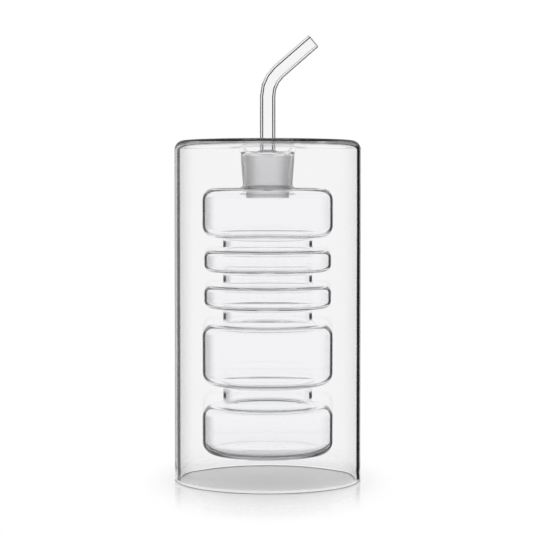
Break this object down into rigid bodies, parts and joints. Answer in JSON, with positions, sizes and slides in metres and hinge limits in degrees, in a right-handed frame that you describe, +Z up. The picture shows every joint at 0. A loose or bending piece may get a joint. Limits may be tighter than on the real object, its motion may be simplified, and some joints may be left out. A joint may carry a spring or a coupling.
{
  "type": "glass oil bottle",
  "caption": "Clear glass oil bottle: a ringed inner vessel hangs in an open-bottomed glass cylinder and is closed by a ground stopper with a bent pour spout.",
  "frame": {"origin": "middle of the circle that the outer cylinder's rim stands on", "axes": "+Z up along the bottle's axis, +X the way the spout points at rest"},
  "size_m": [0.0954, 0.0954, 0.2269],
  "materials": {
    "clear_glass": "clear, smooth, hand worked borosilicate glass",
    "ground_glass": "finely ground, frosted where the stopper seats"
  },
  "bodies": {
    "bottle": {"outer_cylinder": "clear_glass", "crown": "clear_glass", "neck_socket": "ground_glass", "upper_chamber": "clear_glass", "upper_ring": "clear_glass", "lower_ring": "clear_glass", "middle_chamber_upper": "clear_glass", "middle_chamber_lower": "clear_glass", "base_chamber": "clear_glass"},
    "stopper": {"stopper_cone": "ground_glass"},
    "spout": {"pour_spout": "clear_glass"}
  },
  "joints": [
    {"name": "stopper_lift", "type": "slide", "parent": "bottle", "child": "stopper", "axis": [0, 0, 1], "range_m": [0, 0.055]},
    {"name": "spout_turn", "type": "hinge", "parent": "stopper", "child": "spout", "pos_m": [0, 0, 0.1738], "axis": [0, 0, 1], "continuous": true}
  ]
}
